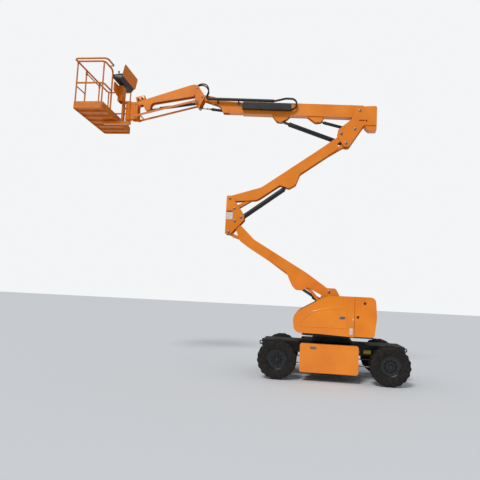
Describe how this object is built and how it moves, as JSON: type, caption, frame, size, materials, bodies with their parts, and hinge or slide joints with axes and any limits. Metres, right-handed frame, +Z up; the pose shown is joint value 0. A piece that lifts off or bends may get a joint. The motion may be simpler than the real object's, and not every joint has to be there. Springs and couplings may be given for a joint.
{
  "type": "articulating boom lift",
  "caption": "self-propelled articulating boom lift with parallel-link riser, telescoping boom, jib and turning work basket on a slewing turret",
  "frame": {"origin": "on the ground under the slewing axis, midway between the axles and between the wheels", "axes": "+X to the counterweight end, -X to the steered axle and the basket, +Y to the machine's right-hand side seen facing the basket, +Z up"},
  "size_m": [7.5281, 2.1107, 6.9225],
  "materials": {
    "orange_paint": "gloss",
    "black_paint": "satin",
    "grey_steel": "satin",
    "orange_cover": "gloss",
    "dark_iron": "painted",
    "battery": "matt",
    "tyre_black": "matt",
    "chain_black": "matt",
    "basket_tube": "painted"
  },
  "bodies": {
    "chassis": {"chassis_frame": "black_paint", "slew_ring": "black_paint", "battery_boxes": "battery", "front_axle": "black_paint", "rear_axle": "black_paint"},
    "cover_left": {"side_cover_left": "orange_cover"},
    "cover_right": {"side_cover_right": "orange_cover"},
    "steer_left": {"steering_knuckle_left": "black_paint"},
    "steer_right": {"steering_knuckle_right": "black_paint"},
    "tie_rod": {"tie_rod": "black_paint"},
    "wheel_front_left": {"tyre_front_left": "tyre_black", "rim_front_left": "black_paint"},
    "wheel_front_right": {"tyre_front_right": "tyre_black", "rim_front_right": "black_paint"},
    "wheel_rear_left": {"tyre_rear_left": "tyre_black", "rim_rear_left": "black_paint"},
    "wheel_rear_right": {"tyre_rear_right": "tyre_black", "rim_rear_right": "black_paint"},
    "turret": {"turret_frame": "black_paint", "counterweight": "dark_iron", "power_block": "battery"},
    "hood_left": {"hood_left": "orange_cover"},
    "hood_right": {"hood_right": "orange_cover"},
    "lower_arm": {"lower_arm": "orange_paint"},
    "lower_link": {"lower_link": "orange_paint"},
    "lower_barrel": {"lower_cylinder_barrel": "black_paint"},
    "lower_rod": {"lower_cylinder_rod": "grey_steel"},
    "knuckle": {"riser_knuckle": "orange_paint"},
    "upper_arm": {"upper_arm": "orange_paint"},
    "upper_link": {"upper_link": "orange_paint"},
    "upper_barrel": {"upper_cylinder_barrel": "black_paint"},
    "upper_rod": {"upper_cylinder_rod": "grey_steel"},
    "upright": {"upright": "orange_paint"},
    "boom_outer": {"boom_outer": "orange_paint", "cable_trough": "black_paint"},
    "boom_inner": {"boom_inner": "orange_paint", "cable_tube": "chain_black"},
    "cable_chain": {"cable_chain": "chain_black"},
    "lift_barrel": {"lift_cylinder_barrel": "black_paint"},
    "lift_rod": {"lift_cylinder_rod": "grey_steel"},
    "master_barrel": {"master_cylinder_barrel": "black_paint"},
    "master_rod": {"master_cylinder_rod": "grey_steel"},
    "slave_barrel": {"slave_cylinder_barrel": "black_paint"},
    "slave_rod": {"slave_cylinder_rod": "grey_steel"},
    "jib_base": {"jib_base": "orange_paint"},
    "jib_arm": {"jib_arm": "orange_paint"},
    "jib_link": {"jib_link": "orange_paint"},
    "jib_barrel": {"jib_cylinder_barrel": "black_paint"},
    "jib_rod": {"jib_cylinder_rod": "grey_steel"},
    "jib_head": {"jib_head": "orange_paint"},
    "basket": {"basket_mount": "orange_paint", "basket_floor": "basket_tube", "basket_rails": "basket_tube", "console": "battery", "console_shield": "orange_paint"},
    "entry_bar": {"entry_bar": "basket_tube"}
  },
  "joints": [
    {"name": "side_cover_left_hinge", "type": "hinge", "parent": "chassis", "child": "cover_left", "pos_m": [0.514, -0.885, 0.47], "axis": [0, 0, 1], "range_deg": [0, 85]},
    {"name": "side_cover_right_hinge", "type": "hinge", "parent": "chassis", "child": "cover_right", "pos_m": [0.514, 0.885, 0.47], "axis": [0, 0, -1], "range_deg": [0, 85]},
    {"name": "steering", "type": "hinge", "parent": "chassis", "child": "steer_left", "pos_m": [-1.12, -0.755, 0.4], "axis": [0, 0, 1], "range_deg": [-30, 30]},
    {"name": "steering_right", "type": "hinge", "parent": "chassis", "child": "steer_right", "pos_m": [-1.12, 0.755, 0.4], "axis": [0, 0, 1], "range_deg": [-30, 30]},
    {"name": "tie_rod_slide", "type": "slide", "parent": "chassis", "child": "tie_rod", "axis": [0, 1, 0], "range_m": [-0.0765, 0.0765]},
    {"name": "wheel_front_left_spin", "type": "hinge", "parent": "steer_left", "child": "wheel_front_left", "pos_m": [-1.12, -0.905, 0.4], "axis": [0, 1, 0], "continuous": true},
    {"name": "wheel_front_right_spin", "type": "hinge", "parent": "steer_right", "child": "wheel_front_right", "pos_m": [-1.12, 0.905, 0.4], "axis": [0, 1, 0], "continuous": true},
    {"name": "wheel_rear_left_spin", "type": "hinge", "parent": "chassis", "child": "wheel_rear_left", "pos_m": [1.12, -0.905, 0.4], "axis": [0, 1, 0], "continuous": true},
    {"name": "wheel_rear_right_spin", "type": "hinge", "parent": "chassis", "child": "wheel_rear_right", "pos_m": [1.12, 0.905, 0.4], "axis": [0, 1, 0], "continuous": true},
    {"name": "slew", "type": "hinge", "parent": "chassis", "child": "turret", "pos_m": [0, 0, 0.86], "axis": [0, 0, 1], "range_deg": [-177.5, 177.5]},
    {"name": "hood_left_hinge", "type": "hinge", "parent": "turret", "child": "hood_left", "pos_m": [-0.2, -0.252, 1.712], "axis": [-1, 0, 0], "range_deg": [0, 60]},
    {"name": "hood_right_hinge", "type": "hinge", "parent": "turret", "child": "hood_right", "pos_m": [-0.2, 0.252, 1.712], "axis": [1, 0, 0], "range_deg": [0, 60]},
    {"name": "lower_arm_lift", "type": "hinge", "parent": "turret", "child": "lower_arm", "pos_m": [-0.085, 0, 1.82], "axis": [0, 1, 0], "range_deg": [-52.9, 27.1]},
    {"name": "lower_link_turn", "type": "hinge", "parent": "turret", "child": "lower_link", "pos_m": [-0.214, 0, 1.559], "axis": [0, 1, 0], "range_deg": [-52.9, 27.1]},
    {"name": "lower_cylinder_barrel_turn", "type": "hinge", "parent": "turret", "child": "lower_barrel", "pos_m": [0.215, 0, 1.32], "axis": [0, 1, 0], "range_deg": [-29.65, 15.2]},
    {"name": "lower_cylinder_rod_slide", "type": "slide", "parent": "lower_barrel", "child": "lower_rod", "axis": [-0.8549, 0, 0.5187], "range_m": [-0.3025, 0.155]},
    {"name": "knuckle_level", "type": "hinge", "parent": "lower_arm", "child": "knuckle", "pos_m": [-2.24446, 0, 3.32646], "axis": [0, 1, 0], "range_deg": [-27.1, 52.9]},
    {"name": "upper_arm_lift", "type": "hinge", "parent": "knuckle", "child": "upper_arm", "pos_m": [-2.37846, 0, 3.84146], "axis": [0, -1, 0], "range_deg": [-12.2, 32.8]},
    {"name": "upper_link_turn", "type": "hinge", "parent": "knuckle", "child": "upper_link", "pos_m": [-2.26846, 0, 3.61146], "axis": [0, -1, 0], "range_deg": [-12.2, 32.8]},
    {"name": "upper_cylinder_barrel_turn", "type": "hinge", "parent": "knuckle", "child": "upper_barrel", "pos_m": [-2.10646, 0, 3.41246], "axis": [0, 1, 0], "range_deg": [-30.15, 11.22]},
    {"name": "upper_cylinder_rod_slide", "type": "slide", "parent": "upper_barrel", "child": "upper_rod", "axis": [0.8045, 0, 0.594], "range_m": [-0.1034, 0.2779]},
    {"name": "upright_level", "type": "hinge", "parent": "upper_arm", "child": "upright", "pos_m": [0.08565, 0, 5.3932], "axis": [0, -1, 0], "range_deg": [-32.8, 12.2]},
    {"name": "boom_lift", "type": "hinge", "parent": "upright", "child": "boom_outer", "pos_m": [0.48666, 0, 5.9232], "axis": [0, 1, 0], "range_deg": [-12, 70]},
    {"name": "lift_cylinder_barrel_turn", "type": "hinge", "parent": "upright", "child": "lift_barrel", "pos_m": [0.19565, 0, 5.1632], "axis": [0, 1, 0], "range_deg": [-10.12, 59.01]},
    {"name": "lift_cylinder_rod_slide", "type": "slide", "parent": "lift_barrel", "child": "lift_rod", "axis": [-0.9387, 0, 0.3446], "range_m": [-0.1494, 0.8712]},
    {"name": "master_cylinder_barrel_turn", "type": "hinge", "parent": "upright", "child": "master_barrel", "pos_m": [0.38766, 0, 5.4962], "axis": [0, 1, 0], "range_deg": [-9.97, 58.09]},
    {"name": "master_cylinder_rod_slide", "type": "slide", "parent": "master_barrel", "child": "master_rod", "axis": [-0.9665, 0, 0.2568], "range_m": [-0.0792, 0.4613]},
    {"name": "boom_telescope", "type": "slide", "parent": "boom_outer", "child": "boom_inner", "axis": [-0.9994, 0, 0.0349], "range_m": [0, 1.7]},
    {"name": "cable_chain_slide", "type": "slide", "parent": "boom_outer", "child": "cable_chain", "axis": [-0.9994, 0, 0.0349], "range_m": [0, 0.85]},
    {"name": "jib_base_level", "type": "hinge", "parent": "boom_inner", "child": "jib_base", "pos_m": [-3.16982, 0, 6.26001], "axis": [0, 1, 0], "range_deg": [-70, 12]},
    {"name": "slave_cylinder_barrel_turn", "type": "hinge", "parent": "boom_inner", "child": "slave_barrel", "pos_m": [-2.52444, 0, 5.94429], "axis": [0, 1, 0], "range_deg": [-1.5, 8.71]},
    {"name": "slave_cylinder_rod_slide", "type": "slide", "parent": "slave_barrel", "child": "slave_rod", "axis": [-0.9913, 0, 0.1317], "range_m": [-0.2457, 0.0422]},
    {"name": "jib_lift", "type": "hinge", "parent": "jib_base", "child": "jib_arm", "pos_m": [-3.30682, 0, 6.47501], "axis": [0, 1, 0], "range_deg": [-43.8, 74]},
    {"name": "jib_link_turn", "type": "hinge", "parent": "jib_base", "child": "jib_link", "pos_m": [-3.29382, 0, 6.14801], "axis": [0, 1, 0], "range_deg": [-43.8, 74]},
    {"name": "jib_cylinder_barrel_turn", "type": "hinge", "parent": "jib_base", "child": "jib_barrel", "pos_m": [-3.29382, 0, 6.14801], "axis": [0, 1, 0], "range_deg": [-42.31, 71.48]},
    {"name": "jib_cylinder_rod_slide", "type": "slide", "parent": "jib_barrel", "child": "jib_rod", "axis": [-0.991, 0, -0.1337], "range_m": [-0.2114, 0.3571]},
    {"name": "jib_head_level", "type": "hinge", "parent": "jib_arm", "child": "jib_head", "pos_m": [-4.79007, 0, 6.09969], "axis": [0, 1, 0], "range_deg": [-74, 43.8]},
    {"name": "basket_turn", "type": "hinge", "parent": "jib_head", "child": "basket", "pos_m": [-4.98507, 0, 5.94], "axis": [0, 0, 1], "range_deg": [-80, 80]},
    {"name": "entry_bar_slide", "type": "slide", "parent": "basket", "child": "entry_bar", "axis": [0, 0, 1], "range_m": [-0.43, 0]}
  ],
  "couplings": [
    {"joint": "steering_right", "follows": "steering", "ratio": 1},
    {"joint": "tie_rod_slide", "follows": "steering", "m_per_rad": 0.1455},
    {"joint": "lower_link_turn", "follows": "lower_arm_lift", "ratio": 1},
    {"joint": "lower_cylinder_barrel_turn", "follows": "lower_arm_lift", "ratio": 0.56035},
    {"joint": "lower_cylinder_rod_slide", "follows": "lower_arm_lift", "m_per_rad": 0.32752},
    {"joint": "knuckle_level", "follows": "lower_arm_lift", "ratio": -1},
    {"joint": "upper_link_turn", "follows": "upper_arm_lift", "ratio": 1},
    {"joint": "upper_cylinder_barrel_turn", "follows": "upper_arm_lift", "ratio": -0.91889},
    {"joint": "upper_cylinder_rod_slide", "follows": "upper_arm_lift", "m_per_rad": 0.48532},
    {"joint": "upright_level", "follows": "upper_arm_lift", "ratio": -1},
    {"joint": "lift_cylinder_barrel_turn", "follows": "boom_lift", "ratio": 0.84285},
    {"joint": "lift_cylinder_rod_slide", "follows": "boom_lift", "m_per_rad": 0.713},
    {"joint": "master_cylinder_barrel_turn", "follows": "boom_lift", "ratio": 0.82973},
    {"joint": "master_cylinder_rod_slide", "follows": "boom_lift", "m_per_rad": 0.37752},
    {"joint": "cable_chain_slide", "follows": "boom_telescope", "ratio": 0.5},
    {"joint": "jib_base_level", "follows": "boom_lift", "ratio": -1},
    {"joint": "slave_cylinder_barrel_turn", "follows": "boom_lift", "ratio": 0.12432},
    {"joint": "slave_cylinder_rod_slide", "follows": "boom_lift", "m_per_rad": -0.20102},
    {"joint": "jib_link_turn", "follows": "jib_lift", "ratio": 1},
    {"joint": "jib_cylinder_barrel_turn", "follows": "jib_lift", "ratio": 0.96583},
    {"joint": "jib_cylinder_rod_slide", "follows": "jib_lift", "m_per_rad": 0.2764},
    {"joint": "jib_head_level", "follows": "jib_lift", "ratio": -1}
  ]
}
